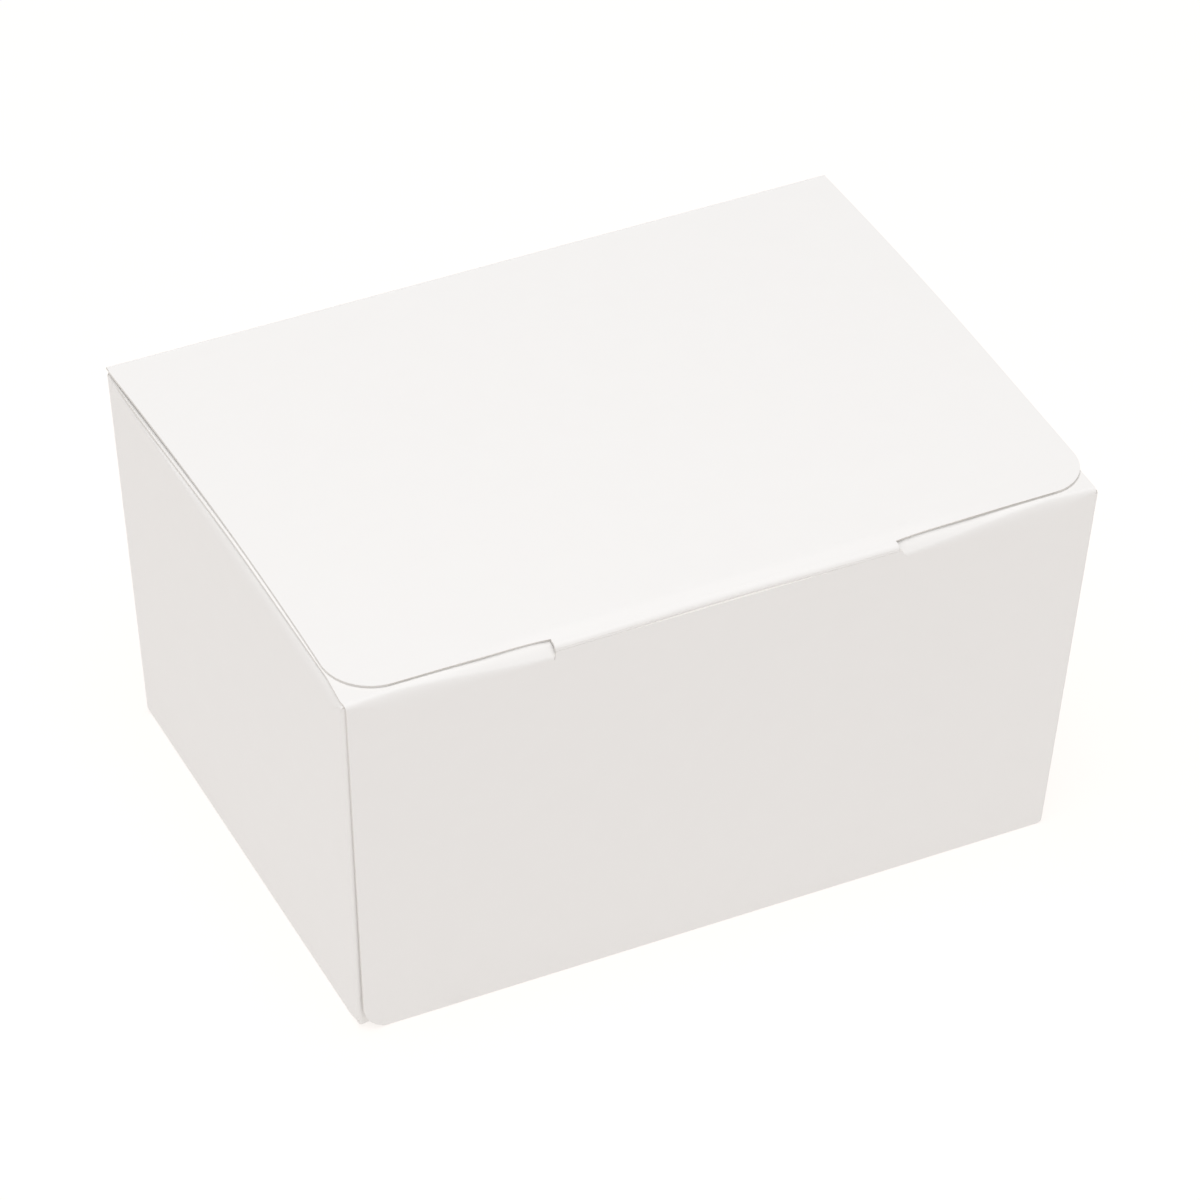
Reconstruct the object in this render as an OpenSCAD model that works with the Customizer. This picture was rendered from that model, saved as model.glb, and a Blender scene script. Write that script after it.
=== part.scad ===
// Small folding carton for sweets: a die-cut sheet of white board, creased,
// glued at one upright corner, with a self-locking base and a tuck-in lid.
// Millimetres. X runs along the front, the front wall faces -Y, +Z is up.

/* [Box] */
// Length of the box along the front, at the top
top_length = 140; // [100:1:220]
// Depth of the box from front to rear, at the top
top_depth = 100.5; // [80:0.5:160]
// Height of the front wall up to the top of its fold
box_height = 76; // [56:1:140]
// How far each end wall leans in at the base
end_lean = 4.3; // [1:0.1:8]
// How far the front and rear walls lean in at the base
front_lean = 3; // [1:0.1:8]

/* [Board] */
// Thickness of the board
board = 0.45; // [0.3:0.05:0.8]
// Air left between two leaves of board that lie on each other
leaf_gap = 0.05; // [0.05:0.01:0.2]
// Outer radius of the folds along the top and the base
fold_radius = 1; // [0.85:0.05:2]
// Outer radius of the upright folds between the walls
upright_fold_radius = 0.95; // [0.85:0.05:2]

/* [Glued seam] */
// Width of the glue flap behind the front wall
glue_flap_width = 13; // [8:0.5:20]
// How far the glue flap stays below the top fold
glue_flap_top_drop = 9; // [5:0.5:16]
// How far the glue flap stays above the base
glue_flap_base_rise = 4; // [3:0.5:10]
// Height over which each end of the glue flap is cut at a slant
glue_flap_slant = 4; // [2:0.5:7]
// Width of the open line at the top of the seam
seam_top_gap = 0.12; // [0.05:0.01:0.3]
// Width of the open line at the foot of the seam
seam_foot_gap = 0.35; // [0.1:0.01:0.4]
// Radius of the wall corners at the foot of the seam
seam_foot_radius = 5.5; // [3:0.5:8]

/* [Front flap] */
// Air between the front flap and the rear wall
front_flap_rear_gap = 1.5; // [0.5:0.1:4]
// How far each side of the front flap stays in from the end walls
front_flap_side_gap = 0.4; // [0.2:0.1:2]
// How much further in each side of the front flap is at its rear edge
front_flap_narrowing = 0.5; // [0:0.1:3]
// Radius of the two free corners of the front flap
front_flap_corner_radius = 5; // [2:0.5:12]
// How far the wall's cut edge in the slit stays below the top fold
slit_edge_drop = 0.3; // [0.1:0.05:0.6]
// Air between the tongue and the wall's cut edge in front of it
slit_front_gap = 0.25; // [0.2:0.05:0.6]
// Air between the tongue and the flap's cut edge behind it
slit_rear_gap = 0.15; // [0.1:0.05:0.6]
// Air between the tongue and each end of the slit
slit_end_gap = 0.5; // [0.3:0.1:2]

/* [Dust flaps] */
// How far each dust flap reaches in from its end wall
dust_flap_reach = 42; // [25:1:46]
// How much narrower the dust flap gets on each side at its free edge
dust_flap_slant = 7; // [2:0.5:14]
// How far the root of the dust flap stays in from the corners
dust_flap_root_gap = 1.5; // [1.2:0.1:4]
// Radius of the free corners of the dust flaps
dust_flap_corner_radius = 6; // [2:0.5:12]

/* [Lid] */
// How far the lid stands out past each end wall
lid_overhang = 0.55; // [0.1:0.05:2]
// How far the lid's front edge stays behind the front fold
lid_setback = 2.4; // [2:0.1:5]
// Radius of the lid's two front corners
lid_corner_radius = 9; // [4:0.5:16]
// Length of the tuck tongue along the front
tongue_length = 63; // [40:1:84]
// How far the tongue hangs down inside the front wall
tongue_drop = 14; // [9:0.5:20]
// Radius of the tongue's lower corners
tongue_corner_radius = 6; // [3:0.5:8]

/* [Base] */
// How far each base panel crosses the middle where they lock
lock_shift = 9; // [5:0.5:14]
// Half length of the slanted step in the lock line
lock_step = 7; // [4:0.5:12]
// Open line between the two locked base panels
lock_line_gap = 0.3; // [0.2:0.05:0.8]
// How far each locking lip reaches past the lock line
lock_lip_reach = 12; // [6:0.5:18]
// Length of each locking lip along the front
lock_lip_length = 24; // [12:1:28]
// Radius of the locking lips' free corners
lock_lip_radius = 4; // [1:0.5:6]
// How far each inner base flap reaches in from its end wall
base_flap_reach = 27; // [15:1:30]
// How much narrower the inner base flap gets on each side
base_flap_slant = 18; // [6:1:24]
// Radius of the free corners of the inner base flaps
base_flap_corner_radius = 3; // [1:0.5:8]
// How far the base folds stay in from the corners
base_corner_gap = 1.2; // [1:0.1:4]

/* [Hidden] */
white_board = "#f4f2ef";
arc_steps = 8;
// Longer than anything in the box, for cuts that run right through
far = 2 * (top_length + top_depth + box_height);
// Overlap that fuses two stretches of the same board
fuse = 1;
// Thickness of the leaning walls, measured level
end_board = board / cos(atan(end_lean / box_height));
front_board = board / cos(atan(front_lean / box_height));
// The dust flaps lie under the front flap, and the lid lies on top of it
dust_flap_top = box_height - board - leaf_gap;
lid_under = box_height + leaf_gap;
lid_top = lid_under + board;
// The inner base flaps lie on the two locked panels
inner_base_under = board + leaf_gap;
// The walls run between the folds at these two heights
walls_from_z = inner_base_under + fold_radius;
walls_to_z = dust_flap_top - fold_radius;
base_half = top_length / 2 - end_lean - base_corner_gap;
front_flap_end = top_depth / 2 - board - front_flap_rear_gap;
// How far the walls stay inside the space that rounds their upright folds
fold_ease = 0.03;
// How much the die thins each face of the board along a cut edge
pressed_edge = 0.02;
// The lid turns about the middle of the board at the rear wall's top edge
hinge_y = top_depth / 2 - board / 2;
hinge_z = lid_under + board / 2;
slit_front_y = -(top_depth / 2 - front_board);
tongue_front_y = slit_front_y + slit_front_gap;
tongue_fold_radius = board + 0.4;
// The tongue's tip rides the same circle about the hinge as its fold does
swing_radius = hinge_y - tongue_front_y;
tongue_lean = tongue_drop * tongue_drop / (2 * swing_radius);
// A straight tongue cuts inside that circle by this much half way down
swing_sag = tongue_drop * tongue_drop / (8 * swing_radius);
slit_rear_y = tongue_front_y + board + swing_sag + slit_rear_gap;
slit_half = tongue_length / 2 + slit_end_gap;
lid_half = top_length / 2 + lid_overhang;

// Outer face of a wall at height z: half is the half size at the top
function wall_face(half, lean, z) = half - lean * (1 - z / box_height);

// Centre of a fold of the given radius against the wall, at height z
function fold_centre(half, lean, radius, z) =
    let (angle = atan(lean / box_height))
    half - (radius + (box_height - z) * sin(angle)) / cos(angle);

// Points along an arc between two angles
function arc(centre, radius, from, to) = [
    for (i = [0:arc_steps])
        let (angle = from + (to - from) * i / arc_steps)
        centre + radius * [cos(angle), sin(angle)]
];

// The bend from a leaning wall up into a flap whose upper face is at face_z,
// as points in (distance out from the middle, height)
function top_bend(half, lean, face_z, radius) =
    let (z = face_z - fold_radius, angle = atan(lean / box_height))
    arc([fold_centre(half, lean, fold_radius, z), z], radius, 90, -angle);

// The bend from the wall down into a base flap whose lower face is at face_z
function base_bend(half, lean, face_z, radius) =
    let (z = face_z + fold_radius, angle = atan(lean / box_height))
    arc([fold_centre(half, lean, fold_radius, z), z], radius, -angle, -90);

function reversed(points) = [for (i = [len(points) - 1:-1:0]) points[i]];

// Section of a strip of board: top flap, bend, wall, bend and base flap
function strip(half, lean, top_z, top_end, base_z, base_end) =
    concat(
        [[top_end, top_z]],
        top_bend(half, lean, top_z, fold_radius),
        base_bend(half, lean, base_z, fold_radius),
        [[base_end, base_z], [base_end, base_z + board]],
        reversed(base_bend(half, lean, base_z, fold_radius - board)),
        reversed(top_bend(half, lean, top_z, fold_radius - board)),
        [[top_end, top_z - board]]
    );

// Section of a strip whose wall stands straight up to a cut edge at top_z
function open_strip(half, lean, top_z, base_z, base_end) =
    let (top = wall_face(half, lean, top_z))
    concat(
        [[top, top_z]],
        base_bend(half, lean, base_z, fold_radius),
        [[base_end, base_z], [base_end, base_z + board]],
        reversed(base_bend(half, lean, base_z, fold_radius - board)),
        [[top - board / cos(atan(lean / box_height)), top_z]]
    );

// Carries a section along the rear wall, the front wall or the right end
module along_rear(length) {
    rotate([90, 0, 90])
        linear_extrude(height = length, center = true)
            children();
}

module along_front(length) {
    mirror([0, 1, 0])
        along_rear(length)
            children();
}

module along_right(length) {
    rotate([90, 0, 0])
        linear_extrude(height = length, center = true)
            children();
}

// Outline of a flap: from a root cut on the line x = 0, it narrows over the
// length reach to a free edge with two rounded corners
module flap_outline(root_half, tip_half, reach, radius) {
    hull() {
        translate([-far, -root_half])
            square([far, 2 * root_half]);
        for (side = [-1, 1])
            translate([reach - radius, side * (tip_half - radius)])
                circle(r = radius, $fn = 48);
    }
}

// Everything between the two rows of folds
module wall_zone() {
    translate([-far / 2, -far / 2, walls_from_z])
        cube([far, far, walls_to_z - walls_from_z]);
}

// Everything above the walls, or below them, that lies within an outline
module top_zone() {
    translate([0, 0, walls_to_z - fuse])
        linear_extrude(height = far)
            children();
}

module base_zone() {
    translate([0, 0, walls_from_z + fuse - far])
        linear_extrude(height = far)
            children();
}

// Seen from above: the front flap, with the slit along its fold
module front_flap_outline() {
    flap_half = top_length / 2 - front_flap_side_gap;
    front_y = -top_depth / 2;
    difference() {
        translate([0, front_y])
            rotate(90)
                flap_outline(flap_half, flap_half - front_flap_narrowing,
                             front_flap_end - front_y, front_flap_corner_radius);
        translate([-slit_half, -far])
            square([2 * slit_half, far + slit_rear_y]);
    }
}

// A base panel. The two lock along a stepped line through the middle, which
// is the same when turned half round
module base_panel_outline() {
    edge = lock_line_gap / 2;
    polygon([[-base_half, -far], [base_half, -far],
             [base_half, -lock_shift - edge], [lock_step, -lock_shift - edge],
             [-lock_step, lock_shift - edge], [-base_half, lock_shift - edge]]);
}

// The lip of a base panel that tucks in over the other panel
module base_lip() {
    root = 3 * board;
    middle = lock_step + root + lock_lip_length / 2;
    reach = lock_line_gap + lock_lip_reach;
    translate([middle, -lock_shift - lock_line_gap, 0]) {
        translate([-lock_lip_length / 2 + board, -root + board / 2, board / 2])
            cube([lock_lip_length - 2 * board, root - board, inner_base_under]);
        translate([0, 0, inner_base_under])
            linear_extrude(height = board)
                intersection() {
                    rotate(90)
                        flap_outline(lock_lip_length / 2, lock_lip_length / 2,
                                     reach, lock_lip_radius);
                    translate([-far / 2, -root])
                        square(far);
                }
    }
}

// The sliver between a rounded wall corner and the square one it replaces
module foot_corner(depth) {
    translate([-fuse, -fuse, 0])
        linear_extrude(height = depth)
            difference() {
                square(seam_foot_radius + fuse);
                translate([fuse + seam_foot_radius, fuse + seam_foot_radius])
                    circle(r = seam_foot_radius, $fn = 48);
            }
}

// Front wall, with the front flap above it and a base panel below it
module front_strip() {
    outer_y = wall_face(top_depth / 2, front_lean, 0);
    difference() {
        union() {
            intersection() {
                along_front(far)
                    polygon(strip(top_depth / 2, front_lean, box_height,
                                  -front_flap_end, 0, -lock_shift));
                union() {
                    wall_zone();
                    top_zone()
                        front_flap_outline();
                    base_zone()
                        difference() {
                            base_panel_outline();
                            translate([-far - base_half + seam_foot_radius, -far])
                                square([far, far - outer_y + seam_foot_radius]);
                        }
                }
            }
            base_lip();
            slit_wall();
            front_foot();
        }
        translate([-wall_face(top_length / 2, end_lean, seam_foot_radius),
                   2 * front_board - outer_y, 0])
            rotate([90, 0, 0])
                foot_corner(2 * front_board + fuse);
    }
}

// Section of a stretch of wall that isn't bent at its end, which the die has
// pressed a little thinner than the board
function pressed_section(half, lean, low, high) =
    let (
        foot = wall_face(half, lean, low) - pressed_edge,
        head = wall_face(half, lean, high) - pressed_edge,
        thickness = board / cos(atan(lean / box_height)) - 2 * pressed_edge
    )
    [[head, high], [foot, low], [foot - thickness, low], [head - thickness, high]];

// In the slit the front wall stands straight up to its own cut edge
module slit_wall() {
    along_front(2 * slit_half - slit_end_gap)
        polygon(pressed_section(top_depth / 2, front_lean, walls_to_z - 2 * fuse,
                                box_height - slit_edge_drop));
}

// Past the base folds, beside the seam, both walls run down to rounded feet
module front_foot() {
    length = seam_foot_radius + fuse;
    translate([-base_half + length / 2 - base_corner_gap, 0, 0])
        along_front(length)
            polygon(pressed_section(top_depth / 2, front_lean, pressed_edge,
                                    walls_from_z + fuse));
}

module left_foot() {
    length = seam_foot_radius + fuse;
    root_y = wall_face(top_depth / 2, front_lean, 0) - front_board - seam_foot_gap;
    translate([0, length / 2 - root_y, 0])
        mirror([1, 0, 0])
            along_right(length)
                polygon(pressed_section(top_length / 2, end_lean, pressed_edge,
                                        walls_from_z + fuse));
}

// Rear wall, cut straight under the lid's crease, and the other base panel
module rear_strip() {
    intersection() {
        along_rear(far)
            polygon(open_strip(top_depth / 2, front_lean, box_height, 0, -lock_shift));
        union() {
            translate([0, 0, far / 2 - fuse])
                wall_zone();
            wall_zone();
            base_zone()
                rotate(180)
                    base_panel_outline();
        }
    }
    rotate(180)
        base_lip();
}

// An end wall, with the dust flap above it and an inner base flap below it.
// This is the right one. Both flaps stay clear of the corners
module end_strip() {
    dust_half = top_depth / 2 - upright_fold_radius - dust_flap_root_gap;
    inner_half = wall_face(top_depth / 2, front_lean, 0)
        - upright_fold_radius - base_corner_gap;
    dust_x = top_length / 2 - fold_radius;
    inner_x = wall_face(top_length / 2, end_lean, 0) - fold_radius;
    intersection() {
        along_right(far)
            polygon(strip(top_length / 2, end_lean, dust_flap_top,
                          dust_x - dust_flap_reach, inner_base_under,
                          inner_x - base_flap_reach));
        union() {
            wall_zone();
            top_zone()
                translate([dust_x, 0])
                    rotate(180)
                        flap_outline(dust_half, dust_half - dust_flap_slant,
                                     dust_flap_reach, dust_flap_corner_radius);
            base_zone()
                translate([inner_x, 0])
                    rotate(180)
                        flap_outline(inner_half, inner_half - base_flap_slant,
                                     base_flap_reach, base_flap_corner_radius);
        }
    }
}

// The left end wall stops behind the front wall's cut edge, so that an open
// line shows there, and its base flap starts past the rounded foot corner
module left_strip() {
    low = -fuse;
    high = box_height + fuse;
    low_y = front_board - wall_face(top_depth / 2, front_lean, low);
    high_y = front_board - wall_face(top_depth / 2, front_lean, high);
    foot_y = front_board - wall_face(top_depth / 2, front_lean, 0) + seam_foot_gap;
    root_x = wall_face(top_length / 2, end_lean, 0);
    difference() {
        union() {
            difference() {
                mirror([1, 0, 0])
                    end_strip();
                translate([-far, foot_y + seam_foot_radius - far, walls_from_z - far])
                    cube(far);
            }
            left_foot();
        }
        rotate([90, 0, 90])
            linear_extrude(height = far, center = true)
                polygon([[-far, low], [low_y + seam_foot_gap, low],
                         [high_y + seam_top_gap, high], [-far, high]]);
        translate([2 * end_board - root_x, foot_y, 0])
            rotate([90, 0, -90])
                mirror([1, 0, 0])
                    foot_corner(2 * end_board + fuse);
    }
}

// The glue flap: the left end wall carried on behind the front wall
module glue_flap() {
    low = glue_flap_base_rise;
    high = box_height - glue_flap_top_drop;
    left_low = end_board / 2 - wall_face(top_length / 2, end_lean, low);
    left_high = end_board / 2 - wall_face(top_length / 2, end_lean, high);
    right_low = left_low + glue_flap_width;
    right_high = left_high + glue_flap_width;
    intersection() {
        rotate([90, 0, 0])
            linear_extrude(height = far)
                polygon([[left_low, low], [right_low - glue_flap_slant, low],
                         [right_low, low + glue_flap_slant],
                         [right_high, high - glue_flap_slant],
                         [right_high - glue_flap_slant, high], [left_high, high]]);
        along_front(far)
            polygon([for (side = [[0.5, -fuse], [0.5, box_height + fuse],
                                  [2, box_height + fuse], [2, -fuse]])
                [wall_face(top_depth / 2, front_lean, side[1]) - side[0] * front_board,
                 side[1]]]);
    }
}

// The space that the folded walls fill. It is a hair larger than they are,
// so that it only rounds off their upright folds
module folded_space() {
    low = -2 * fuse;
    high = box_height + 2 * fuse;
    hull()
        for (z = [low, high], sx = [-1, 1], sy = [-1, 1]) {
            x = wall_face(top_length / 2, end_lean, z) + fold_ease;
            y = wall_face(top_depth / 2, front_lean, z) + fold_ease;
            at_seam = sx < 0 && sy < 0;
            radius = at_seam ? 2 * fold_ease : upright_fold_radius;
            translate([sx * (x - radius), sy * (y - radius), z])
                cylinder(h = fold_ease, r = radius, $fn = 32);
        }
}

module carton() {
    color(white_board) {
        intersection() {
            union() {
                front_strip();
                rear_strip();
                end_strip();
                left_strip();
            }
            folded_space();
        }
        glue_flap();
    }
}

// Lid outline seen from above, up to where the tongue starts to bend
module lid_outline() {
    front_y = -(top_depth / 2 - lid_setback);
    inner_x = lid_half - lid_corner_radius;
    inner_y = front_y + lid_corner_radius;
    translate([-lid_half, inner_y])
        square([2 * lid_half, hinge_y - inner_y]);
    translate([-inner_x, front_y])
        square([2 * inner_x, hinge_y - front_y]);
    for (side = [-1, 1])
        translate([side * inner_x, inner_y])
            circle(r = lid_corner_radius, $fn = 96);
}

// The tongue in section: flat on the lid, over the fold and down the slit
function tongue_section() =
    let (
        lean = atan(tongue_lean / tongue_drop),
        out = -tongue_front_y,
        radius = tongue_fold_radius,
        centre = [out - radius, lid_top - radius],
        inner = radius - board,
        tip_z = lid_top - tongue_drop,
        bend = centre + radius * [cos(lean), -sin(lean)],
        tip = bend - (bend[1] - tip_z) * [tan(lean), 1]
    )
    concat(
        [[out - lid_setback - fuse, lid_top]],
        arc(centre, radius, 90, -lean),
        [tip, tip - board * [cos(lean), -sin(lean)]],
        arc(centre, inner, -lean, 90),
        [[out - lid_setback - fuse, lid_top - board]]
    );

module tongue() {
    half = tongue_length / 2;
    tip_z = lid_top - tongue_drop - fuse;
    round_z = lid_top - tongue_drop + tongue_corner_radius;
    intersection() {
        along_front(tongue_length)
            polygon(tongue_section());
        rotate([90, 0, 0])
            linear_extrude(height = far)
                union() {
                    translate([-half, round_z])
                        square([2 * half, far]);
                    translate([-half + tongue_corner_radius, tip_z])
                        square([2 * (half - tongue_corner_radius), far]);
                    for (side = [-1, 1])
                        translate([side * (half - tongue_corner_radius), round_z])
                            circle(r = tongue_corner_radius, $fn = 64);
                }
    }
}

module lid() {
    color(white_board) {
        translate([0, 0, lid_under])
            linear_extrude(height = board)
                lid_outline();
        tongue();
        translate([0, hinge_y, hinge_z])
            rotate([0, 90, 0])
                cylinder(h = 2 * lid_half, r = board / 2, center = true, $fn = 48);
    }
}

carton();
lid();
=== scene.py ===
import math
import bpy
import numpy as np
from mathutils import Matrix, Vector


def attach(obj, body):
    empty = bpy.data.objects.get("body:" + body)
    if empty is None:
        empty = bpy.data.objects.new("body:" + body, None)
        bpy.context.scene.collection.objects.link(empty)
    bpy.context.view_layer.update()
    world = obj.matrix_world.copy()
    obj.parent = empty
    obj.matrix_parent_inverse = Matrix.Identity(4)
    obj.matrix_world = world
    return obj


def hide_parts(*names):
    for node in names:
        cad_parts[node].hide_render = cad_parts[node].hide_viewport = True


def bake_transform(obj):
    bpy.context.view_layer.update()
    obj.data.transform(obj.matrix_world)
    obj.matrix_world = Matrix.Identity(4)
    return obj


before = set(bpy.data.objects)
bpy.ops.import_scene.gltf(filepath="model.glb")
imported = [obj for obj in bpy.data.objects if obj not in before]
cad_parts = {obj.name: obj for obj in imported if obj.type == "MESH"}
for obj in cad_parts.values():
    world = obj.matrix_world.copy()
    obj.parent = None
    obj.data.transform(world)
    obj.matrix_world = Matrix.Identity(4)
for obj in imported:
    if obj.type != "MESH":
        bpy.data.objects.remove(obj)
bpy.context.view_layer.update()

# The camera stands where the photograph was taken: a long lens, looking down
# on the box from its front left. The numbers come from the box's own corners.
photo_size = 1200
focal_pixels = 6641.5
azimuth, elevation, roll = (math.radians(a) for a in (-26.578, 38.915, 1.315))
aim = Vector((0, 0, 0.035))
camera_distance = 1.162
aim_pixel = Vector((594.2, 613.0))

toward = Vector((math.sin(azimuth) * math.cos(elevation),
                 -math.cos(azimuth) * math.cos(elevation), math.sin(elevation)))
level = Vector((0, 0, 1)).cross(toward).normalized()
upright = toward.cross(level)
right = level * math.cos(roll) + upright * math.sin(roll)
above = upright * math.cos(roll) - level * math.sin(roll)
camera_data = bpy.data.cameras.new("photo_camera")
camera = bpy.data.objects.new("photo_camera", camera_data)
bpy.context.scene.collection.objects.link(camera)
bpy.context.scene.camera = camera
camera_data.sensor_width = 36
camera_data.lens = camera_data.sensor_width * focal_pixels / photo_size
camera_data.clip_start, camera_data.clip_end = 0.01, 20
pixel = camera_distance / focal_pixels
centre_shift = (photo_size / 2 - aim_pixel.x, photo_size / 2 - aim_pixel.y)
place = aim + toward * camera_distance + (right * centre_shift[0] - above * centre_shift[1]) * pixel
camera.matrix_world = Matrix.Translation(place) @ Matrix((right, above, toward)).transposed().to_4x4()

# The carton is one die-cut sheet of white folding boxboard: four leaning walls
# in a ring, flaps above and below them and a glue flap that closes the ring.
# It is creased, folded and glued at the front left corner. Millimetres.
MM = 0.001
top_half = {"x": 70.3, "y": 50.25}
lean = {"x": 4.4, "y": 3.0}
box_height = 76.0
board = 0.45
leaf_gap = 0.05
upright_radius = 0.8
base_radius = 0.5
slit_end_x = 32.0
slit_cut = 0.05
lock_step, lock_shift, lock_gap = 7.0, 9.0, 0.15
lip_start_x, lip_reach = 8.35, 12.3

# Steps of the grid along the board, zone by zone, from the tip of a locking
# lip, over the base panel and round its fold, up the wall and over the top.
zones = {"lip": 7, "base": 14, "base_fold": 6, "wall": 32, "top_fold": 12, "flap": 30}
zone_start = dict(zip(zones, np.cumsum([0] + list(zones.values()))))
row_count = sum(zones.values()) + 1
tab_rows, turn_rows, flap_edge_rows = 5, 7, 9


def share(zone, power=1.0):
    """How far each row of the grid has come through a zone, from 0 to 1. A power above 1
    crowds the rows towards the zone's end."""
    passed = np.clip((np.arange(row_count) - zone_start[zone]) / zones[zone], 0, 1)
    return (1 - (1 - passed) ** power)[:, None]


foot_rows, foot_share = 0.25, 0.08


def wall_share():
    """How far up the wall each row is. A quarter of its rows lie in its lowest 6 mm."""
    return np.interp(share("wall"), [0, foot_rows, 1], [0, foot_share, 1])


def cells(*names):
    """Which rows of cells belong to the zones of these names."""
    row = np.arange(row_count - 1)
    return sum((row >= zone_start[n]) & (row < zone_start[n] + zones[n]) for n in names) > 0


def wall_face(axis, height):
    """Distance from the middle to a leaning wall's outer face: its half size at the top,
    less its lean times how far below the top the place is."""
    return top_half[axis] - lean[axis] * (1 - height / box_height)


def smooth(value, low, high):
    """0 below low, 1 above high, and 3t^2 - 2t^3 between them."""
    t = np.clip((value - low) / (high - low), 0, 1)
    return t * t * (3 - 2 * t)


def crown(y):
    """How far the closed top lies below its highest line, which runs along the box just
    behind the middle: a parabola in depth that has fallen a quarter of a millimetre at
    the front fold."""
    fall, highest_y, to_front_fold = 0.25, 8, 58
    return fall * ((y - highest_y) / to_front_fold) ** 2


def section(axis, fold_depth, fold_height, top_z, flap_end, base_z, base_end, lip_reach=0.0,
            run=0.0, drop=0.0, turn_rows=zones["top_fold"]):
    """A panel's section, as distance out from the middle, height, and the outer face's
    normal. The base fold is an arc against the leaning wall. The top fold is an arc of an
    ellipse, fold_depth deep and fold_height high, that starts along the wall's face. It
    ends level with the flap, or earlier, and then a parabola, run long and drop high,
    carries the board on up to the flap's plane."""
    slope = lean[axis] / box_height
    tilt = math.atan(slope)
    low_angle = -math.pi / 2 + (math.pi / 2 - tilt) * share("base_fold")
    low_z = base_z + base_radius
    low_out = wall_face(axis, low_z) - base_radius / math.cos(tilt)
    steep = 2 * drop / np.maximum(run, 1e-6)
    meets = -np.arctan(fold_height / fold_depth * slope)
    leaves = np.arctan2(fold_height, fold_depth * steep)
    passed = share("top_fold") * zones["top_fold"]
    risen = np.clip((passed - turn_rows) / max(zones["top_fold"] - turn_rows, 1), 0, 1)
    round_angle = meets + (leaves - meets) * np.clip(passed / turn_rows, 0, 1)
    fold_out = fold_depth * np.cos(round_angle) - run * risen
    fold_up = fold_height * np.sin(round_angle) + drop * (1 - (1 - risen) ** 2)
    facing = np.arctan2(fold_depth * np.sin(round_angle), fold_height * np.cos(round_angle))
    facing = np.where(risen > 0, math.pi / 2 - np.arctan(steep * (1 - risen)), facing)
    facing = np.where(passed > 0, facing, -tilt)
    high_z = top_z - fold_height * np.sin(leaves) - drop
    high_out = wall_face(axis, high_z) - np.sqrt(fold_depth ** 2 + (fold_height * slope) ** 2)
    flap_start = high_out + fold_depth * np.cos(leaves) - run
    up_wall = wall_share()
    out = ((low_out + base_radius * np.cos(low_angle)) * (1 - up_wall)
           + (high_out + fold_out) * up_wall
           - (low_out - base_end) * (1 - share("base"))
           - (flap_start - flap_end) * share("flap", 2)
           - lip_reach * (1 - share("lip")))
    up = (low_z + base_radius * np.sin(low_angle)) * (1 - up_wall) + (high_z + fold_up) * up_wall
    angle = low_angle + facing + tilt
    return out, up, np.cos(angle) + 0 * out, np.sin(angle) + 0 * out


def narrowed(half, distance, radius):
    """Half width of a flap near its free edge: a quarter circle takes the corner off."""
    inside = np.clip(radius - distance, 0, radius)
    return half - (radius - np.sqrt(radius ** 2 - inside ** 2))


def placed(out_direction, along_direction, out, along, up, normal_out, normal_up):
    """A panel's points and normals in the box: outwards, along the wall and up."""
    outwards, sideways, high = (np.array(d, float) for d in
                                (out_direction, along_direction, (0, 0, 1)))
    points = out[..., None] * outwards + along[..., None] * sideways + up[..., None] * high
    normals = normal_out[..., None] * outwards + normal_up[..., None] * high
    return points, normals


def flap_rows(reach):
    """Distance of each row of a top flap from the flap's free edge."""
    return reach * (1 - share("flap", 2))


def spread(low, high, count, power=1.5):
    """Numbers from low to high that crowd towards both ends."""
    t = np.linspace(-1, 1, count)
    bent = np.sign(t) * (1 - (1 - np.abs(t)) ** power)
    return low + (high - low) * (bent + 1) / 2


def long_columns():
    """Places of the columns along a long wall: dense at the ends, with one column at each
    end of the slit on either side of the cut, and one at each turn of the lock line."""
    inner = slit_end_x - slit_cut
    side = spread(slit_end_x, top_half["x"], 14)
    middle = np.concatenate([np.linspace(-inner, -lock_step, 9),
                             np.linspace(-lock_step, lock_step, 7)[1:],
                             np.linspace(lip_start_x, inner, 9)])
    return np.concatenate([-side[::-1], middle, side])


def stretched(columns, left_edge, right_edge):
    """Columns past the slit's ends are spread evenly out to the panel's edges, row by row."""
    past = (np.abs(columns) - slit_end_x) / (top_half["x"] - slit_end_x)
    edge = np.where(columns < 0, left_edge, right_edge)
    return np.where(past > 0, np.sign(columns) * (slit_end_x + past * (edge - slit_end_x)), columns)


def rounded_foot(up):
    """How far a wall's cut edge draws back near its foot, along a quarter circle."""
    radius = 5.5
    return radius - np.sqrt(radius ** 2 - np.clip(radius - up, 0, radius) ** 2)


def lock_line(columns):
    """The free edge of a base panel: past the middle on one side, short of it on the other,
    with a straight slanted step between."""
    return np.interp(columns, [-lock_step, lock_step], [-lock_shift + lock_gap, lock_shift + lock_gap])


def base_panel(columns, out, up, left_edge, right_edge):
    """Adds the locking lip, which steps up by a leaf of board and tucks in over the other
    panel, with the tip's corners rounded. Returns heights and columns."""
    root, radius = 1.5, 4.0
    past = lip_reach * (1 - share("lip"))
    raised = up + (board + leaf_gap) * smooth(past, 0, root)
    middle, half = (lip_start_x + slit_end_x) / 2, (slit_end_x - lip_start_x) / 2
    squeeze = narrowed(half, lip_reach - past, radius) / half
    along = stretched(columns, left_edge, right_edge)
    tucked = middle + (along - middle) * squeeze
    return raised, np.where((past > 0) & (columns > lip_start_x - 1e-6), tucked, along)


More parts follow.
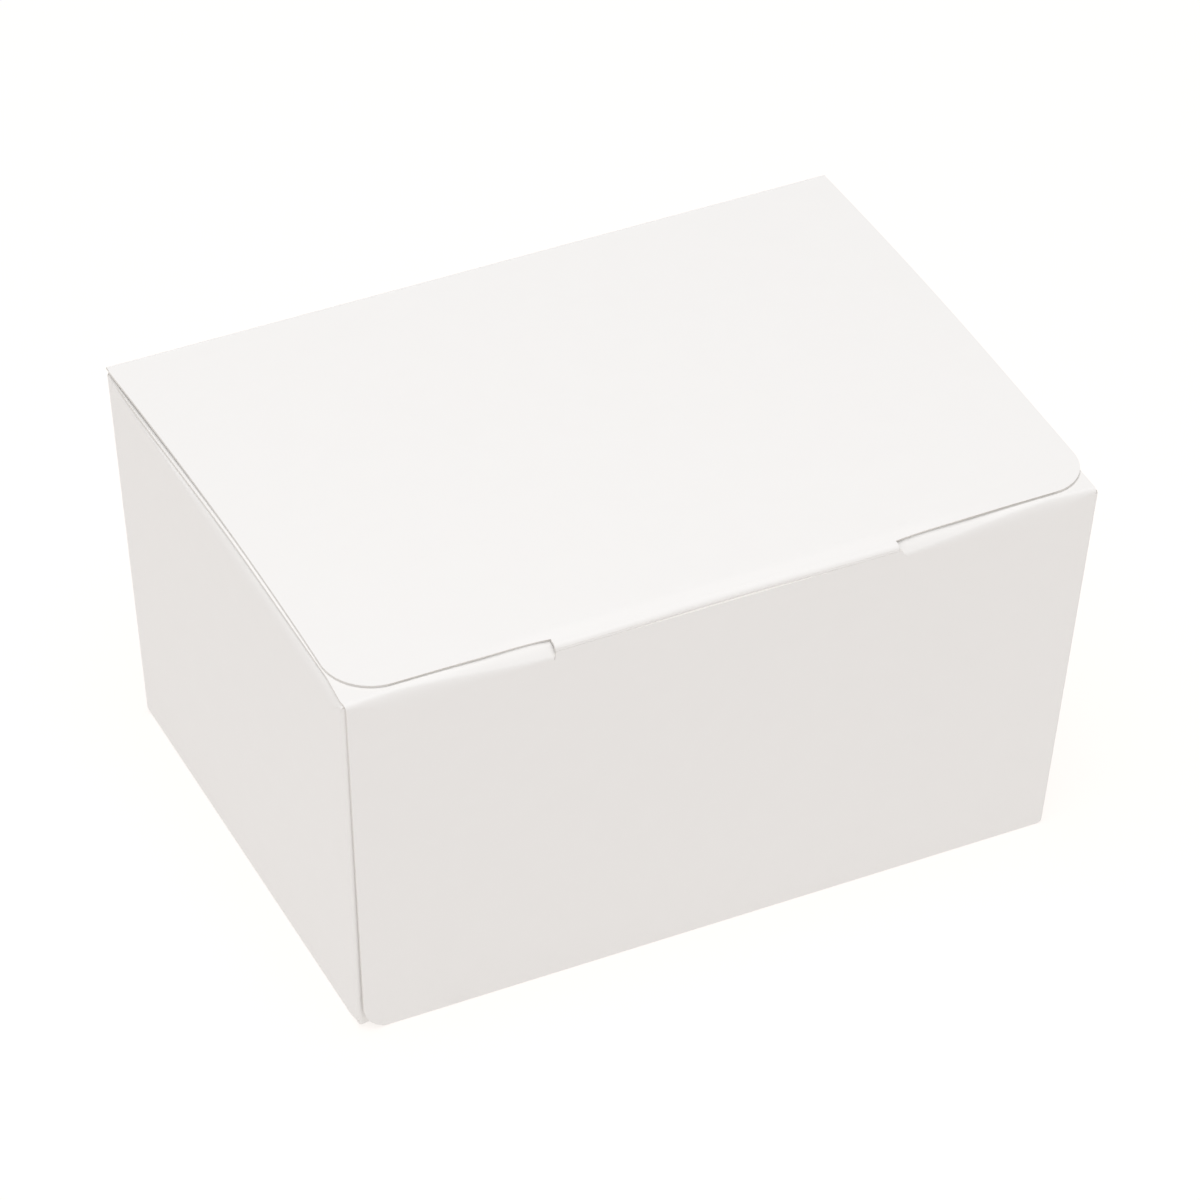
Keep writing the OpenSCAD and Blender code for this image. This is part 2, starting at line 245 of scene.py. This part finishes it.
# Front wall with the full-depth front flap above it. Between the ends of the
# slit the wall stands straight up to its own cut edge. Outside them the board
# rolls over in a soft fold, and beside the slit the flap runs down towards it.
columns = long_columns()[None, :]
fold_size = 0.9
slit_reach = 30
near_slit = 1 - smooth(np.abs(columns), slit_end_x, slit_end_x + slit_reach)
to_corner = top_half["x"] - np.abs(columns)
fold_depth = fold_size - 0.3 * near_slit
fold_height = fold_size + 2.5 * smooth(to_corner, 0, 9) - 2.4 * near_slit
slope_run, slope_drop = 0.8 + 2.8 * near_slit, 2.1 * near_slit
front_top = box_height - crown(-top_half["y"])
flap_reach = 97.0
front_flap_end = top_half["y"] - 1 - flap_reach
out, up, normal_out, normal_up = section("y", fold_depth, fold_height, front_top, front_flap_end,
                                         0.0, lock_line(columns), lip_reach, slope_run,
                                         slope_drop, turn_rows)

# Its left edge is the open seam, set back from the corner and rounded at the
# foot. Its right edge meets the upright fold. The flap's free corners are round.
seam_setback, base_inset = 0.65, 0.4
over_fold = share("top_fold")
wall_x = wall_face("x", np.clip(up, 0, box_height))
regained = 4.0 * smooth(1 - share("base"), 0, 0.3)
wall_left = wall_x - seam_setback - rounded_foot(np.clip(up, 0, None)) + regained
flap_half_left = 69.45 + 0.85 * smooth(-out, -10, 50) + 0.45 * (share("flap") == 0)
flap_left = narrowed(flap_half_left, flap_rows(flap_reach), 3.0)
left_edge = wall_left * (1 - over_fold) + flap_left * over_fold
wall_right = wall_x - upright_radius - base_inset * (1 - share("base_fold"))
flap_right = narrowed(69.6 - 0.6 * share("flap", 2), flap_rows(flap_reach), 5.0)
right_edge = np.where(over_fold > 0, flap_right, wall_right)
up, along = base_panel(columns, out, up, left_edge, right_edge)

# The slit's two ends turn outwards as they run down the fold, the right one
# further. Beside them the flap reaches in a little under the tongue's sides, and
# the panel between them ends in a cut edge.
row = np.arange(row_count)[:, None] - zone_start["top_fold"]
slit_flare = np.where(columns < 0, 0.1, 1.7)
tab_ease = np.where(columns < 0, 0.15, 0.1)
in_slit = np.abs(columns) < slit_end_x - 0.01
flare_width = 2.0
near_cut = np.exp(-((np.abs(columns) - slit_end_x) / flare_width) ** 2)
flared = np.clip(1 - row / flap_edge_rows, 0, 1) ** 1.5 * smooth(share("wall"), 0.85, 1.0)
is_tab = in_slit & (row > 0) & (row <= tab_rows)
under_tongue = 0.35 * ~in_slit * np.clip((row - 4) / 3, 0, 1) * (row <= flap_edge_rows)
eased_in = tab_ease * is_tab * np.clip(row / tab_rows, 0, 1) + under_tongue
along = along + np.sign(columns) * near_cut * (slit_flare * flared - eased_in)
tab_top = 74.57
foot_of_tab = up[zone_start["top_fold"]][None, :]
tab_z = foot_of_tab + (tab_top - foot_of_tab) * row / tab_rows
tilt_y = math.atan(lean["y"] / box_height)
out = np.where(is_tab, wall_face("y", tab_z), out)
up = np.where(is_tab, tab_z, up)
normal_out = np.where(is_tab, math.cos(tilt_y), normal_out)
normal_up = np.where(is_tab, -math.sin(tilt_y), normal_up)


def droop(x, y):
    """How far the front flap sags onto the dust flaps: most at its rear left edge, a
    little less in the corner itself, and nothing towards its fold."""
    to_left = 0.2 + 0.42 * smooth(-x, 5, 70)
    return smooth(y, -10, 45) * to_left * (1 - 0.5 * smooth(y, 38, 50))


up = up - np.where(share("flap") > 0, crown(-out) - crown(-top_half["y"]) + droop(along, -out), 0)
front = placed((0, -1, 0), (1, 0, 0), out, along, up, normal_out, normal_up)
cell_row = np.arange(row_count - 1)[:, None] - zone_start["top_fold"]
cell_x = (columns[0, 1:] + columns[0, :-1])[None, :] / 2
on_lip = (cell_x > lip_start_x) & (cell_x < slit_end_x - slit_cut)
slit_rows = (cell_row >= tab_rows) & (cell_row < flap_edge_rows)
beside_rows = (cell_row >= 0) & (cell_row < flap_edge_rows)
in_cut = np.abs(np.abs(cell_x) - (slit_end_x - slit_cut / 2)) < 0.02
front_kept = ~(slit_rows & (np.abs(cell_x) < slit_end_x)) & ~(beside_rows & in_cut)
front_kept &= ~cells("lip")[:, None] | on_lip

# Rear wall, cut off just below the lid's crease, with the other locking base
# panel. It is the front wall's shape turned half round, without the flap.
rear_cut, rear_fold = 75.2, 0.8
out, up, normal_out, normal_up = section("y", rear_fold, rear_fold, rear_cut + rear_fold, 0.0,
                                         0.0, lock_line(columns), lip_reach)
edge = (wall_face("x", np.clip(up, 0, box_height)) - upright_radius
        - base_inset * (1 - share("base_fold")))
up, along = base_panel(columns, out, up, edge, edge)
rear = placed((0, 1, 0), (-1, 0, 0), out, along, up, normal_out, normal_up)
rear_kept = (cells("lip")[:, None] & on_lip) | cells("base", "base_fold", "wall")[:, None]
rear_kept = rear_kept & np.ones_like(on_lip)


# End walls with their dust flaps and inner base flaps. Both fold over more
# softly towards the front, and there the left one carries the glue flap.
def end_wall(fold_depth, fold_height, front_edge, side, lift=0.0):
    """An end wall seen from outside, with its dust flap under the front flap and its base
    flap over the base panels. Its columns run from one upright fold to the other. Lift
    raises its foot: on the left wall that is at the last columns, by the seam."""
    t = end_columns
    wall_half, fold_half, base_half = 49, 49.45, 45.8
    dust_reach, dust_slant, dust_radius = 42.0, 8.0, 6.0
    base_reach, base_slant, base_corner = 27.0, 18, 3.0
    dust_top = box_height - board - leaf_gap
    y = t * wall_half * side
    sag = crown(y) + droop(side * top_half["x"], y)
    out, up, n_out, n_up = section("x", fold_depth, fold_height, dust_top - sag,
                                   top_half["x"] - 1 - dust_reach, board + leaf_gap + lift,
                                   wall_face("x", 0) - 1 - base_reach)
    plain = wall_face("y", np.clip(up, 0, box_height)) - upright_radius
    dust = narrowed(fold_half - dust_slant * share("flap", 2), flap_rows(dust_reach), dust_radius)
    base = narrowed(base_half - base_slant * (1 - share("base")), base_reach * share("base"),
                    base_corner)
    half = np.where(share("top_fold") > 0, dust, np.where(share("base_fold") < 1, base, plain))
    ahead = np.where((share("top_fold") > 0) | (share("base_fold") < 1), half, front_edge(up, plain))
    along = t * np.where(t * side < 0, ahead, half)
    return placed((side, 0, 0), (0, side, 0), out, along, up, n_out, n_up)


def plain_edge(up, plain):
    """An end wall stops where its upright fold starts."""
    return plain


seam_gap = {"top": 0.12, "foot": 1.1}
glue_low, glue_high = 0.9, 75.0


def glue_face(up):
    """Distance from the middle to the glue flap's outer face, which lies behind the front
    wall and comes away from it a little towards the foot."""
    from_foot = np.clip(up / box_height, 0, 1) ** 0.4
    closed_in = (seam_gap["foot"] - seam_gap["top"]) * from_foot
    return wall_face("y", up) - board - seam_gap["foot"] + closed_in


def seam_edge(up, plain):
    """The left wall ends at its fold where the glue flap is, and at a cut edge above it."""
    face = glue_face(np.clip(up, 0, box_height))
    beside_flap = (up > glue_low) & (up < glue_high)
    return np.where(beside_flap, face - upright_radius, face - 0.3)


end_column_count = 34
end_columns = spread(-1, 1, end_column_count, 1.8)[None, :]
right_soft = smooth(-end_columns, 0.4, 0.85) * (1 - 0.9 * smooth(-end_columns, 0.9, 1.0))
right_points, right_normals = end_wall(0.8 + 0.5 * right_soft, 0.8 + 1.2 * right_soft, plain_edge, 1)
left_soft = smooth(end_columns, -0.5, 0.1) * (1 - 0.95 * smooth(end_columns, 0.92, 1.0))
left_lift = 0.95 * np.clip((end_columns - 0.93) / 0.07, 0, 1) ** 1.3
left_points, left_normals = end_wall(0.55 + 0.35 * left_soft, 0.55 + 2.6 * left_soft, seam_edge,
                                     -1, left_lift)
end_rows = cells("base", "base_fold", "wall", "top_fold", "flap")
end_kept = end_rows[:, None].repeat(end_column_count - 1, 1)
fold_columns = 6


def upright_fold(before, after, x_sign, y_sign, start):
    """The rounded fold between two walls: a quarter turn about an upright line that leans
    with both walls, one radius inside each."""
    t = (np.arange(fold_columns) + 1)[None, :] / (fold_columns + 1)
    z = before[:, -1:, 2] * (1 - t) + after[:, :1, 2] * t
    angle = start + t * math.pi / 2
    x = x_sign * (wall_face("x", z) - upright_radius) + upright_radius * np.cos(angle)
    y = y_sign * (wall_face("y", z) - upright_radius) + upright_radius * np.sin(angle)
    points = np.stack([x, y, z], -1)
    normals = np.stack([np.cos(angle) + 0 * z, np.sin(angle) + 0 * z, -0.05 + 0 * z], -1)
    return points, normals


# The glue flap carries the left wall on behind the front wall, where it is
# glued. Its ends are cut at a slant.
def glue_flap():
    """A quarter turn behind the front wall, then a strip along it whose height shrinks
    evenly past the first tenth of its width. Its foot steps down from the fold's."""
    width, slant, slant_from, foot_step = 12.0, 5.0, 0.1, 1.1
    middle = (glue_low + glue_high) / 2
    turns = np.linspace(0, 1, 8)[None, 1:]
    near_foot = np.clip(1 - wall_share() / foot_share, 0, 1)
    z = left_points[:, -1:, 2] - foot_step * near_foot * np.clip(2 * turns, 0, 1)
    angle = math.pi + turns * math.pi / 2
    bend_x = -(wall_face("x", z) - upright_radius) + upright_radius * np.cos(angle)
    bend_y = -(glue_face(z) - upright_radius) + upright_radius * np.sin(angle)
    slanted = np.clip(turns - slant_from, 0, 1) / (1 - slant_from)
    strip_z = middle + (z[:, -1:] - middle) * (1 - slanted * 2 * slant / (glue_high - glue_low))
    strip_x = -(wall_face("x", strip_z) - upright_radius) + width * turns
    strip_y = -glue_face(strip_z)
    x = np.concatenate([bend_x, strip_x], 1)
    y = np.concatenate([bend_y, strip_y], 1)
    z = np.concatenate([z, strip_z], 1)
    turn = np.concatenate([angle, np.full_like(turns, 1.5 * math.pi)], 1) + 0 * x
    return np.stack([x, y, z], -1), np.stack([np.cos(turn), np.sin(turn), -0.04 + 0 * turn], -1)


glue_points, glue_normals = glue_flap()
edge_z = (left_points[1:, -1, 2] + left_points[:-1, -1, 2]) / 2
glue_rows = cells("wall", "top_fold") & (edge_z > glue_low) & (edge_z < glue_high)


def board_mesh(name, points, normals, kept, blank, crease):
    """A closed sheet of board from one grid. The grid is the outer face, the inner face lies
    one thickness behind it along the normals, and a quad closes each cut edge, found
    where a kept cell has no kept neighbour. Faces 0 are coated, 1 the back, 2 cut edges."""
    count = points.shape[0] * points.shape[1]
    unit = normals / np.linalg.norm(normals, axis=-1, keepdims=True)
    place = np.concatenate([points.reshape(-1, 3), (points - board * unit).reshape(-1, 3)]) * MM
    number = np.arange(count).reshape(points.shape[:2])
    corner = [number[:-1, :-1], number[:-1, 1:], number[1:, 1:], number[1:, :-1]]
    face = np.stack([c[kept] for c in corner], -1)
    padded = np.pad(kept, 1)
    beyond = [padded[:-2, 1:-1], padded[1:-1, 2:], padded[2:, 1:-1], padded[1:-1, :-2]]
    rims = []
    for side, neighbour in enumerate(beyond):
        edge = kept & ~neighbour
        first, second = corner[side][edge], corner[(side + 1) % 4][edge]
        rims.append(np.stack([second, first, first + count, second + count], -1))
    rim = np.concatenate(rims)
    quads = np.concatenate([face, face[:, ::-1] + count, rim])
    used, quads = np.unique(quads, return_inverse=True)
    mesh = bpy.data.meshes.new(name)
    mesh.from_pydata(place[used], [], quads.reshape(-1, 4))
    finish_number = np.repeat([0, 1, 2], [len(face), len(face), len(rim)])
    mesh.polygons.foreach_set("material_index", finish_number.astype(np.int32))
    mesh.polygons.foreach_set("use_smooth", np.ones(len(finish_number), bool))
    corners = np.empty(len(mesh.loops), np.int32)
    mesh.loops.foreach_get("vertex_index", corners)
    flat = np.tile(blank.reshape(-1, 2), (2, 1))[used] * MM
    mesh.uv_layers.new(name="blank").data.foreach_set("uv", flat[corners].ravel())
    through = {"crease": np.tile(crease.ravel(), 2), "depth": np.repeat([0.0, 1.0], count)}
    for label, values in through.items():
        attribute = mesh.attributes.new(label, "FLOAT", "POINT")
        attribute.data.foreach_set("value", values[used].astype(np.float32))
    mesh.set_sharp_from_angle(angle=math.radians(32))
    mesh.update()
    piece = bpy.data.objects.new(name, mesh)
    bpy.context.scene.collection.objects.link(piece)
    return piece


def flat_sheet(points, kept):
    """Where each grid point lies on the sheet before folding: lengths summed along the
    columns, and along the row that keeps most cells."""
    down = np.linalg.norm(np.diff(points, axis=0), axis=-1)
    across = np.linalg.norm(np.diff(points, axis=1), axis=-1)
    v = np.pad(np.cumsum(np.minimum(down, 8), axis=0), ((1, 0), (0, 0)))
    middle_row = int(np.argmax(kept.sum(1)))
    u = np.pad(np.cumsum(across[middle_row]), (1, 0))
    return np.stack([np.broadcast_to(u, v.shape), v], -1)


# The ring in order: front wall, right wall, rear wall, left wall and glue flap,
# with an upright fold after each wall. A fold's cells reach to both its walls.
ring = [front,
        upright_fold(front[0], right_points, 1, -1, -math.pi / 2),
        (right_points, right_normals),
        upright_fold(right_points, rear[0], 1, 1, 0.0),
        rear,
        upright_fold(rear[0], left_points, -1, 1, math.pi / 2),
        (left_points, left_normals),
        (glue_points, glue_normals)]
fold_cells = cells("wall")[:, None].repeat(fold_columns + 1, 1)
glue_cells = glue_rows[:, None].repeat(glue_points.shape[1], 1)
points = np.concatenate([block[0] for block in ring], 1)
normals = np.concatenate([block[1] for block in ring], 1)
kept = np.concatenate([front_kept, fold_cells, end_kept, fold_cells, rear_kept, fold_cells, end_kept,
                       glue_cells], 1)
creased = np.concatenate([np.full(block[0].shape[1], order % 2) for order, block in enumerate(ring)])


def within(passed):
    """Which rows lie inside a zone, between its first and its last."""
    return (passed > 0) & (passed < 1)


in_fold = within(share("top_fold")) | within(share("base_fold"))
crease = np.maximum(in_fold + 0.0, creased[None, :] * (share("wall") > 0))
carton = board_mesh("carton_board", points, normals, kept, flat_sheet(points, kept), crease)


class Value:
    """A socket in a material's tree. Arithmetic on it adds Math nodes."""

    def __init__(self, finish, socket):
        self.finish, self.socket = finish, socket

    def maths(self, operation, first, second):
        return self.finish.node("ShaderNodeMath", {"operation": operation}, {0: first, 1: second})

    def __add__(self, other):
        return self.maths("ADD", self, other)

    def __sub__(self, other):
        return self.maths("SUBTRACT", self, other)

    def __rsub__(self, other):
        return self.maths("SUBTRACT", other, self)

    def __mul__(self, other):
        return self.maths("MULTIPLY", self, other)

    __radd__, __rmul__ = __add__, __mul__


class Finish:
    """A material's node tree. node() adds any node: settings first, then its sockets."""

    def __init__(self, name):
        self.material = bpy.data.materials.new(name)
        self.material.use_nodes = True
        self.tree = self.material.node_tree
        self.shader = self.tree.nodes["Principled BSDF"]

    def node(self, kind, settings=None, sockets=None, output=0):
        made = self.tree.nodes.new(kind)
        for key, value in (settings or {}).items():
            setattr(made, key, value)
        self.set(made, sockets or {})
        return Value(self, made.outputs[output])

    def set(self, made, sockets):
        for key, value in sockets.items():
            if isinstance(value, Value):
                self.tree.links.new(value.socket, made.inputs[key])
            else:
                made.inputs[key].default_value = value

    def noise(self, place, scale, detail=2.0, stretch=(1, 1, 1)):
        """Noise with so many lumps to the metre, drawn out along an axis by stretch."""
        turned = self.node("ShaderNodeMapping", None, {"Vector": place, "Scale": stretch})
        return self.node("ShaderNodeTexNoise", None, {"Vector": turned, "Scale": scale, "Detail": detail})

    def mixed(self, factor, first, second):
        """A colour between two, by a factor."""
        return self.node("ShaderNodeMix", {"data_type": "RGBA"}, {0: factor, 6: first, 7: second}, 2)


def colour(*rgb):
    return (*rgb, 1.0)


def board_finish(name, pale, deep, roughness, fibre_depth):
    """White board: clouds of slightly deeper white a few millimetres across, and fine
    fibres along the sheet's grain that ripple the surface."""
    finish = Finish(name)
    flat = finish.node("ShaderNodeTexCoord", None, None, "UV")
    clouds = finish.noise(flat, 170.0, 3.0)
    fibres = finish.noise(flat, 1500.0, 3.0, (1, 0.35, 1))
    folded = finish.node("ShaderNodeAttribute", {"attribute_name": "crease"}, None, "Fac")
    crinkles = finish.noise(flat, 900.0, 2.0, (0.2, 1.5, 1))
    ripple = fibres + folded * crinkles * 1.5
    bump = finish.node("ShaderNodeBump", None, {"Strength": 0.6, "Distance": fibre_depth, "Height": ripple})
    finish.set(finish.shader, {
        "Base Color": finish.mixed(clouds, colour(*pale), colour(*deep)),
        "Roughness": roughness + (fibres - 0.5) * 0.12 + folded * 0.06,
        "Normal": bump,
    })
    return finish.material


def edge_finish():
    """A cut edge: greyer pulp in the middle of the board, between two white coats."""
    finish = Finish("board_cut_edge")
    flat = finish.node("ShaderNodeTexCoord", None, None, "UV")
    depth = finish.node("ShaderNodeAttribute", {"attribute_name": "depth"}, None, "Fac")
    core = depth * (1 - depth) * 4
    pulp = finish.noise(flat, 2600.0, 3.0)
    tone = finish.mixed(pulp, colour(0.72, 0.69, 0.65), colour(0.84, 0.815, 0.785))
    bump = finish.node("ShaderNodeBump", None, {"Strength": 0.5, "Distance": 0.00003, "Height": pulp})
    finish.set(finish.shader, {
        "Base Color": finish.mixed(core, colour(0.85, 0.83, 0.81), tone),
        "Roughness": 0.8 + (pulp - 0.5) * 0.2,
        "Normal": bump,
    })
    return finish.material


coated = board_finish("board_coated", (0.905, 0.889, 0.876), (0.893, 0.876, 0.862), 0.5, 0.000008)
backed = board_finish("board_back", (0.86, 0.84, 0.81), (0.82, 0.80, 0.765), 0.75, 0.00003)
cut_edge = edge_finish()
for material in (coated, backed, cut_edge):
    carton.data.materials.append(material)
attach(carton, "carton")
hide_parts("carton")

# The lid is the same sheet carried on past the rear wall's crease: one flat
# leaf with two rounded front corners, and a tongue that tucks into the slit.
lid_zones = {"leaf": 40, "root": 4, "fold": 10, "tuck": 8, "drop": 16}
lid_rows = np.arange(sum(lid_zones.values()) + 1)[:, None]
lid_start = dict(zip(lid_zones, np.cumsum([0] + list(lid_zones.values()))))
lid_top = box_height + leaf_gap + board
lid_rear_y = 48.8
lid_corner_radius = {"left": 9.0, "right": 8.0}
tongue_ends = (-31.95, 31.95)
tongue_fold_y, tongue_fold_radius, tongue_pull = -50.15, 1.1, 0.55
tongue_face_y, tongue_face_z, tongue_tip_z, tongue_lean = -49.73, 74.58, 62.4, 0.07
tongue_corner_radius = 6.0


def lid_share(zone):
    """How far each row of the lid's grid has come through a zone, from 0 to 1."""
    return np.clip((lid_rows - lid_start[zone]) / lid_zones[zone], 0, 1)


def near_tongue(x):
    """1 along the tongue, and beside it a smooth fall to 0 at 20 mm from its ends."""
    return 1 - smooth(np.abs(x), slit_end_x + 2, slit_end_x + 20)


def front_edge(x):
    """The lid's front edge, which reaches a little further forward on the right. Where the
    tongue pulls it down it also draws back a little."""
    left = -48.2 + 0.46 * near_tongue(x) - 0.5 * np.exp(-np.clip(tongue_ends[0] - x, 0, None) / 5)
    right = -48.56 + 0.46 * near_tongue(x) - 0.55 * np.exp(-np.clip(x - tongue_ends[1], 0, None) / 5)
    return left + (right - left) * np.clip((x - tongue_ends[0]) / (tongue_ends[1] - tongue_ends[0]), 0, 1)


def pulled(x, y):
    """How far the tongue pulls the lid's front edge down between and beside its ends. The
    edge hangs a little further wherever the flap slopes away below it."""
    beside_pull = 0.12
    beside = smooth(np.abs(x), 30, 36) * (1 - smooth(np.abs(x), 44, 60))
    return (tongue_pull * near_tongue(x) + beside_pull * beside) * smooth(-y, 46, 49.5)


def eased(t, first, last, last_slope):
    """A cubic that starts level at first and reaches last with the given slope."""
    return (first * (2 * t ** 3 - 3 * t ** 2 + 1) + last * (3 * t ** 2 - 2 * t ** 3)
            + last_slope * (t ** 3 - t ** 2))


beside_left = spread(tongue_ends[0], -top_half["x"], 16)[::-1]
beside_right = spread(tongue_ends[1], top_half["x"], 16)
lid_columns = np.concatenate([beside_left, np.linspace(*tongue_ends, 27)[1:-1], beside_right])[None, :]
front_y = front_edge(lid_columns)
on_leaf = 1 - (1 - lid_share("leaf")) ** 2
leaf_y = lid_rear_y + (front_y - lid_rear_y) * on_leaf
to_front = leaf_y - front_y

# The tongue's profile: forward to the fold, a quarter turn down over the front
# wall's cut edge, back behind it, and down inside with a slight lean. In the
# middle the fold stands back behind the wall and leaves the cut edge in view.
fold_top = lid_top - crown(tongue_fold_y) - tongue_pull
turn = math.pi / 2 * (1 - lid_share("fold"))
held_back = 0.35 * (1 - smooth(np.abs(lid_columns), 4, 24))
arc_y = tongue_fold_y + held_back + tongue_fold_radius - tongue_fold_radius * np.cos(turn)
arc_z = fold_top - tongue_fold_radius + tongue_fold_radius * np.sin(turn)
tuck = arc_z[-1] - tongue_face_z
y = arc_y + (front_y - arc_y[0]) * (1 - lid_share("root"))
y = np.where(lid_share("tuck") > 0,
             eased(lid_share("tuck"), arc_y[-1], tongue_face_y, tongue_lean * tuck), y)
z = arc_z - tuck * lid_share("tuck") - (tongue_face_z - tongue_tip_z) * lid_share("drop")
y = y + tongue_lean * (tongue_face_z - tongue_tip_z) * lid_share("drop")
y = np.where(lid_share("root") > 0, y, leaf_y)
on_top = lid_top - crown(y) - pulled(lid_columns, y)
z = np.where(lid_share("fold") > 0, z, on_top + (fold_top - on_top) * lid_share("root"))

# Its sides. The lid's left edge bows in along the middle, the right one draws
# in towards the rear, and the tongue narrows to two rounded corners at its tip.
half_left = 68.95 + 0.00037 * (leaf_y + 12) ** 2
half_right = 70.54 - 1.3 * np.clip((leaf_y + 10) / 58.8, 0, 1) ** 2
lid_left = narrowed(half_left, to_front, lid_corner_radius["left"])
lid_right = narrowed(half_right, to_front, lid_corner_radius["right"])
past_left = np.clip((tongue_ends[0] - lid_columns) / (tongue_ends[0] + top_half["x"]), 0, 1)
past_right = np.clip((lid_columns - tongue_ends[1]) / (top_half["x"] - tongue_ends[1]), 0, 1)
tip_distance = (tongue_face_z - tongue_tip_z) * (1 - lid_share("drop"))
tongue_half = (tongue_ends[1] - tongue_ends[0]) / 2
tip_half = narrowed(tongue_half, tip_distance, tongue_corner_radius) - 0.4 * lid_share("tuck")
tongue_middle = (tongue_ends[1] + tongue_ends[0]) / 2
x = tongue_middle + (lid_columns - tongue_middle) * tip_half / tongue_half
x = np.where(past_left > 0, tongue_ends[0] - past_left * (lid_left + tongue_ends[0]), x)
x = np.where(past_right > 0, tongue_ends[1] + past_right * (lid_right - tongue_ends[1]), x)
lid_points = np.stack([x, y + 0 * x, z + 0 * x], -1)
run_y, run_z = np.gradient(lid_points[..., 1], axis=0), np.gradient(lid_points[..., 2], axis=0)
lid_normals = np.stack([0 * x, run_z, -run_y], -1)
cell_x = (lid_columns[:, 1:] + lid_columns[:, :-1]) / 2
lid_kept = (lid_rows[:-1] < lid_start["root"]) | ((cell_x > tongue_ends[0]) & (cell_x < tongue_ends[1]))
in_lid_fold = (lid_share("fold") > 0) & (lid_share("fold") < 1)
lid = board_mesh("lid_board", lid_points[::-1], lid_normals[::-1], lid_kept[::-1],
                 flat_sheet(lid_points[::-1], lid_kept[::-1]), (in_lid_fold + 0 * x)[::-1])
for material in (coated, backed, cut_edge):
    lid.data.materials.append(material)
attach(lid, "lid")
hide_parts("lid")

# The crease between the rear wall and the lid: a narrow band of pressed board
# rounded over between them. It follows the wall at one end and the lid at
# the other.
crease_radius = 0.55
flat_share = 0.2
crease_columns = np.linspace(-1, 1, 60)[None, :]
crease_rows = np.linspace(0, 1, 15)[:, None]
rear_lid_top = lid_top - crown(lid_rear_y)
crease_z = rear_lid_top - crease_radius
crease_y = wall_face("y", crease_z) - crease_radius
bend = np.clip((crease_rows - flat_share) / 0.6, 0, 1)
angle = -tilt_y + (math.pi / 2 + tilt_y) * bend
down_wall = np.clip(1 - crease_rows / flat_share, 0, 1)
over_lid = np.clip((crease_rows - 0.8) / flat_share, 0, 1)
wall_lean = wall_face("y", crease_z) - wall_face("y", rear_cut)
z = crease_z + crease_radius * np.sin(angle) - (crease_z - rear_cut) * down_wall
y = (crease_y + crease_radius * np.cos(angle) - (crease_y - lid_rear_y) * over_lid
     - wall_lean * down_wall)
half = np.where(crease_columns < 0, 70.2, 69.2) - 0.9 * down_wall
x = crease_columns * half
crease_points = np.stack([x, y + 0 * x, z + 0 * x], -1)
crease_normals = np.stack([0 * x, np.cos(angle) + 0 * x, np.sin(angle) + 0 * x], -1)
all_kept = np.ones((crease_rows.size - 1, crease_columns.size - 1), bool)
lid_crease = board_mesh("lid_crease", crease_points[:, ::-1], crease_normals[:, ::-1], all_kept,
                        flat_sheet(crease_points, all_kept), np.ones(x.shape))
for material in (coated, backed, cut_edge):
    lid_crease.data.materials.append(material)
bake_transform(lid_crease)

# The pale floor that the box stands on, and the studio's light: a white room
# all round and a large soft light overhead.
floor_mesh = bpy.data.meshes.new("studio_floor")
floor_half = 4.0
floor_mesh.from_pydata([(-floor_half, -floor_half, 0), (floor_half, -floor_half, 0),
                        (floor_half, floor_half, 0), (-floor_half, floor_half, 0)], [], [(0, 1, 2, 3)])
floor = bpy.data.objects.new("studio_floor", floor_mesh)
bpy.context.scene.collection.objects.link(floor)
floor_finish = Finish("studio_floor")
floor_finish.set(floor_finish.shader, {
    "Base Color": colour(0.2, 0.2, 0.2),
    "Roughness": 0.9,
    "Emission Color": colour(1, 0.962, 0.931),
    "Emission Strength": 0.84,
})
floor_mesh.materials.append(floor_finish.material)

lamp = bpy.data.lights.new("overhead_light", "AREA")
lamp.shape = "DISK"
lamp.size = 1.6
lamp.energy = 18.4
overhead = bpy.data.objects.new("overhead_light", lamp)
overhead.location = (-0.22, -0.2, 1.7)
overhead.rotation_euler = (Vector((0, 0, 0)) - overhead.location).to_track_quat("-Z", "Y").to_euler()
bpy.context.scene.collection.objects.link(overhead)
world = bpy.data.worlds.new("white_room")
world.use_nodes = True
world.node_tree.nodes["Background"].inputs["Color"].default_value = colour(1.0, 1.0, 1.0)
world.node_tree.nodes["Background"].inputs["Strength"].default_value = 0.5
bpy.context.scene.world = world
bpy.context.scene.view_settings.view_transform = "Standard"
